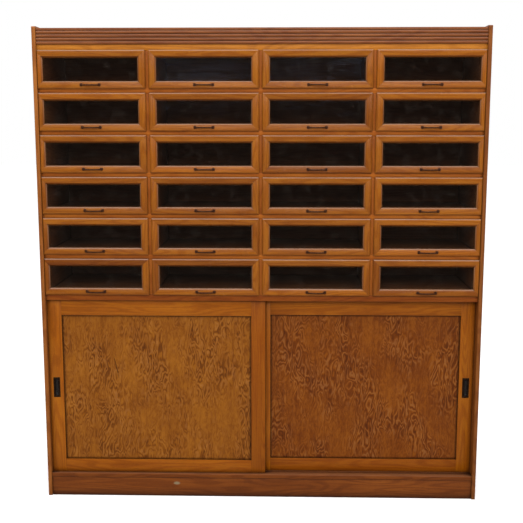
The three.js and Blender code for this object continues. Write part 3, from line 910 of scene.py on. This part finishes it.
for row in range(rows):
    for column in range(columns):
        label = f"r{row + 1}_c{column + 1}"
        shift = (bays[column][0], 0, row_bottoms[row])
        number = row_series * (row + 1) + front_series + column
        tone = random.Random(number).uniform(*drawer_tones)
        front = set_copy(front_patterns[column], f"front_{label}", shift, number, tone, plank_spread)
        box = set_copy(box_patterns[column], f"box_{label}", shift, number + box_series, 0, plank_spread)
        bow = set_copy(bow_pattern, f"bow_pull_{label}", shift, number)
        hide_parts(f"drawer_{label}")
        for piece in (front, box, bow):
            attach(piece, f"drawer_{label}")
        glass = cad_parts[f"glass_{label}"]
        glass.data.materials.clear()
        glass.data.materials.append(pane.material)
for pattern in (*front_patterns, *box_patterns, bow_pattern):
    bpy.data.objects.remove(pattern)


# Sliding doors: two stiles of golden oak from end to end with two rails tenoned between them, grooved on the
# inside for the panel. The left door runs in the front track and the right one in the rear track.
door_stile = 61 * mm
door_top_rail = 78 * mm
door_bottom_rail = 62 * mm
panel_groove = 7.7 * mm
panel_groove_end = 14.3 * mm
panel_groove_depth = 8.3 * mm
pull_plate = (29 * mm, 1.5 * mm, 90 * mm)
pull_cup = (20 * mm, 11 * mm, 74 * mm)
door_tones = shade(99, 44, 2), shade(140, 74, 6), shade(165, 98, 14)
door_dirt_and_shade = 20 * mm
door_ease = 0.9 * mm
rail_setback = 0.15 * mm
# Painted shade with some dirt in the gap between the doors and round the panels.
door_oak = oak_finish("door_oak", door_tones, polish=0.32, reach=door_dirt_and_shade)
stile_tones = {"left": (0.1, -0.55), "right": (-0.1, 0.0)}
rail_tones = {"left": {1: -0.4, -1: -0.15}, "right": {1: -0.6, -1: -0.25}}


def round_ended(name, middle, width, height, depth):
    """A block with half-round ends above and below. It goes back from the middle point of its face."""
    bpy.ops.object.select_all(action="DESELECT")
    around = {"location": (middle[0], middle[1] + depth / 2, middle[2]), "rotation": (pi / 2, pi / 32, 0)}
    bpy.ops.mesh.primitive_cylinder_add(vertices=32, radius=width / 2, depth=depth, **around)
    block = bpy.context.object
    block.name = block.data.name = name
    bpy.ops.object.transform_apply(location=True, rotation=True, scale=True)
    for way in (-1, 1):
        bpy.ops.object.mode_set(mode="EDIT")
        bpy.ops.mesh.select_mode(type="VERT")
        bpy.ops.mesh.select_all(action="DESELECT")
        mesh = bmesh.from_edit_mesh(block.data)
        for corner in mesh.verts:
            corner.select = way * (corner.co.z - middle[2]) > hair
        bmesh.update_edit_mesh(block.data)
        bpy.ops.transform.translate(value=(0, 0, way * (height - width) / 2))
        bpy.ops.object.mode_set(mode="OBJECT")
    return block


for side_name in ("left", "right"):
    low, high = (Vector(corner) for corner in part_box(f"door_frame_{side_name}"))
    pull_low, pull_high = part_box(f"flush_pull_{side_name}")
    pull_middle = [(a + b) / 2 for a, b in zip(pull_low, pull_high)]
    boards = []
    spans = [(low.x, low.x + door_stile), (high.x - door_stile, high.x)]
    for number, (start, end) in enumerate(spans):
        stile = saw_board("stile", (start, low.y, low.z), (end, high.y, high.z))
        inside = (start - spare, start + panel_groove_depth)
        if number == 0:
            inside = (end - panel_groove_depth, end + spare)
        groove_low = (inside[0], low.y + panel_groove, low.z + door_bottom_rail - panel_groove_depth)
        groove_high = (inside[1], low.y + panel_groove_end, high.z - door_top_rail + panel_groove_depth)
        cut_away(stile, saw_board("groove", groove_low, groove_high))
        if start < pull_middle[0] < end:
            face = (pull_middle[0], low.y - spare, pull_middle[2])
            size = (pull_plate[0] / 2 + fit, pull_plate[2] / 2 + fit)
            pocket_low = (face[0] - size[0], face[1], face[2] - size[1])
            pocket_high = (face[0] + size[0], low.y + pull_plate[1] + fit, face[2] + size[1])
            cut_away(stile, saw_board("pocket", pocket_low, pocket_high))
            cup_size = (pull_cup[0] + 2 * fit, pull_cup[2] + 2 * fit, pull_cup[1] + fit + spare)
            cut_away(stile, round_ended("cup_hole", face, *cup_size))
        ease(stile, door_ease)
        boards.append(lay_grain(stile, "Z", stile_tones[side_name][number]))
    for start_z, end_z, way in ((low.z, low.z + door_bottom_rail, 1), (high.z - door_top_rail, high.z, -1)):
        rail = saw_board("rail", (spans[0][1], low.y + rail_setback, start_z), (spans[1][0], high.y, end_z))
        edge = end_z if way > 0 else start_z
        z_pair = sorted((edge - way * panel_groove_depth, edge + way * spare))
        groove_low = (spans[0][1] - spare, low.y + panel_groove, z_pair[0])
        groove_high = (spans[1][0] + spare, low.y + panel_groove_end, z_pair[1])
        cut_away(rail, saw_board("groove", groove_low, groove_high))
        ease(rail, door_ease)
        boards.append(lay_grain(rail, "X", rail_tones[side_name][way]))
    door = put_together(f"door_frame_boards_{side_name}", boards, door_oak)
    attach(door, f"door_{side_name}")
    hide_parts(f"door_frame_{side_name}")


# Door panels: thin sheets of plywood faced with wildly figured oak, loose in the grooves of the frames. The
# left one has stayed golden, with a dark split in its veneer. The right one has gone darker and redder.
veneer_split = (-639 * mm, 0, 587 * mm)
split_width = 2.6 * mm
split_length = 46 * mm
panel_dirt_and_shade = 12 * mm


def figured_finish(name, deep, middle, pale, seed, split=None):
    """Rotary-cut oak: fine wavy lines of late wood that run upright and turn back in flames, over a mottled
    ground, with pale glints, dirt and painted shade along the frame and perhaps a split at a place."""
    ply = Finish(name)
    place = ply.vector("ADD", ply.place(), (seed, seed * 0.7, seed * 1.3))
    warp = ply.noise(place, (16, 1, 7), 2)
    bend = ply.node("CombineXYZ", {0: warp * 0.05, 1: 0.0, 2: warp * 0.06})
    bent = ply.vector("ADD", place, bend)
    ring = ply.math("SINE", ply.noise(bent, (31, 1, 9), 2, 0.4) * 66)
    flame = ply.spread(ring, 0.0, 1.0)
    glint = ply.spread(ring, -0.5, -1.0)
    broken = ply.spread(ply.noise(place, (8, 1, 4), 3, 0.6), 0.38, 0.62, 0.15, 1.0)
    curl = ply.spread(ply.noise(bent, (75, 1, 30), 2, 0.6, 1.6), 0.38, 0.62)
    thread = ply.noise(place, (420, 1, 60), 2, 0.6)
    streak = ply.noise(place, (70, 1, 6), 3, 0.6)
    mottle = ply.noise(place, (9, 1, 6), 4, 0.65)
    depth = flame * broken * 0.27 + curl * 0.1 + thread * 0.2 + streak * 0.34 + mottle * 0.5 - 0.21
    colour = ply.ramp(depth, [(0.22, pale), (0.46, middle), (0.8, deep)])
    colour = ply.mix(glint * broken * 0.22, colour, opaque(shade(168, 118, 70)))
    if split:
        apart = ply.axes(ply.vector("SUBTRACT", ply.place(), split))
        across = apart.part("X") + apart.part("Z") * 0.23 + (warp - 0.5) * 0.02
        upward = apart.part("Z") * (1 / split_length)
        oval = ply.node("CombineXYZ", {0: across * (1 / split_width), 2: upward})
        crack = ply.spread(ply.vector("LENGTH", oval), 1.3, 0.7)
        colour = ply.mix(crack * 0.6, colour, opaque(deep, 0.3))
    # Painted shade with some dirt along the frame round the panel.
    dirt_and_shade = ply.spread(ply.openness(panel_dirt_and_shade), 0.97, 0.6)
    colour = ply.mix(dirt_and_shade * 0.95, colour, opaque(deep, 0.2))
    smear = ply.noise(place, (6, 1, 9), 3, 0.6)
    ply.surface({"Base Color": colour, "Roughness": smear * 0.3 + 0.3, "IOR": 1.3})
    ply.relief(thread * 0.4 - flame * 0.3, grain_depth, 0.5)
    return ply.material


golden = shade(69, 30, 1), shade(114, 62, 6), shade(139, 83, 14)
reddened = shade(62, 23, 1), shade(100, 47, 2), shade(124, 66, 6)
panel_oaks = {
    "left": figured_finish("panel_oak_left", *golden, 3.1, veneer_split),
    "right": figured_finish("panel_oak_right", *reddened, 8.7),
}
for side_name, panel_oak in panel_oaks.items():
    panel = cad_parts[f"door_panel_{side_name}"]
    panel.data.materials.clear()
    panel.data.materials.append(panel_oak)


# Flush pulls: a plate of dark metal let into the outer stile of each door and held by two screws, with a
# scooped cup between them that is let in deeper.
plate_metal = metal_finish("plate_metal", shade(40, 28, 20), shade(105, 84, 66), 0.42, 0.5)
cup_metal = metal_finish("cup_metal", shade(52, 50, 48), shade(120, 116, 110), 0.36, 0.4)
cup_wall = 1.5 * mm
scoop = 5 * mm
overshoot = 4 * mm
plate_round = 1.2 * mm
plate_ease = 0.5 * mm
plate_screw = (2.4 * mm, 0.5 * mm)
for side_name in ("left", "right"):
    low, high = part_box(f"flush_pull_{side_name}")
    middle = [(a + b) / 2 for a, b in zip(low, high)]
    face = (middle[0], low[1], middle[2])
    plate = saw_board("plate", low, (high[0], low[1] + pull_plate[1], high[2]))
    round_over(plate, plate_round, 2, lambda m, d: abs(d.y) > 0.9)
    start = (face[0], low[1] + pull_plate[1] / 2, face[2])
    cup = round_ended("cup", start, pull_cup[0], pull_cup[2], pull_cup[1] - pull_plate[1] / 2)
    start = (face[0], low[1] - overshoot, face[2])
    size = (pull_cup[0] - 2 * cup_wall, pull_cup[2] - 2 * cup_wall, pull_cup[1] - cup_wall + overshoot)
    hollow = round_ended("hollow", start, *size)
    bottom = low[1] + pull_cup[1] - cup_wall
    round_over(hollow, scoop, 5, lambda m, d: m.y > bottom - hair and abs(d.y) < 0.5)
    hollow_again = hollow.copy()
    hollow_again.data = hollow.data.copy()
    scene.collection.objects.link(hollow_again)
    cut_away(plate, hollow)
    cut_away(cup, hollow_again)
    ease(plate, plate_ease, 2, 50)
    pieces = [plate]
    for way in (-1, 1):
        spot = (face[0], low[1] + head_sunk, face[2] + way * (pull_plate[2] + pull_cup[2]) / 4)
        pieces.append(raise_head("screw", spot, -1, *plate_screw))
    plate = put_together(f"flush_plate_{side_name}", pieces, plate_metal)
    cup = put_together(f"flush_cup_{side_name}", [cup], cup_metal)
    for piece in (plate, cup):
        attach(piece, f"door_{side_name}")
    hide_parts(f"flush_pull_{side_name}")
